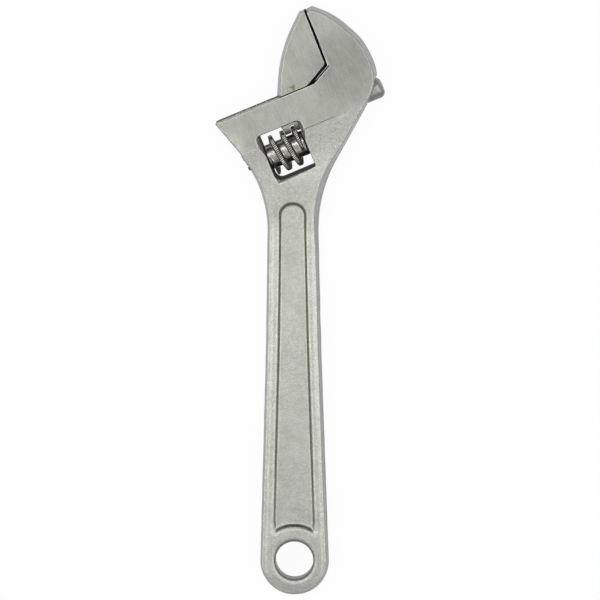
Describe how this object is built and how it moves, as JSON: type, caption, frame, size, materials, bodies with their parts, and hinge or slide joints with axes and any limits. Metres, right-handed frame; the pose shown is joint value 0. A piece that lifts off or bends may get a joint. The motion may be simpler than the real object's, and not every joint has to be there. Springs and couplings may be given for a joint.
{
  "type": "adjustable wrench",
  "caption": "Adjustable wrench with an offset head, a sliding jaw on a toothed rail, a knurled adjusting worm and a hanging hole in the handle.",
  "frame": {"origin": "centre of the hanging hole at half the thickness", "axes": "+Y along the handle towards the head, +Z out of the face along the hanging hole's axis, +X to the right"},
  "size_m": [0.059, 0.2063, 0.014],
  "materials": {
    "forged_steel": "satin plating over a blasted forging, ground on the head",
    "jaw_steel": "ground, satin plating",
    "worm_steel": "turned and knurled, bare",
    "axle_steel": "turned, dark",
    "spring_steel": "drawn wire"
  },
  "bodies": {
    "body": {"wrench_body": "forged_steel", "worm_axle": "axle_steel", "worm_spring": "spring_steel"},
    "worm": {"worm": "worm_steel"},
    "jaw": {"movable_jaw": "jaw_steel"}
  },
  "joints": [
    {"name": "worm_spin", "type": "hinge", "parent": "body", "child": "worm", "pos_m": [-0.0022, 0.1444, 0], "axis": [0.9239, 0.3827, 0], "range_deg": [-39, 1969]},
    {"name": "jaw_slide", "type": "slide", "parent": "body", "child": "jaw", "axis": [-0.9239, -0.3827, 0], "range_m": [-0.00045, 0.0235]}
  ],
  "couplings": [
    {"joint": "worm_spin", "follows": "jaw_slide", "rad_per_m": 1461.2}
  ]
}
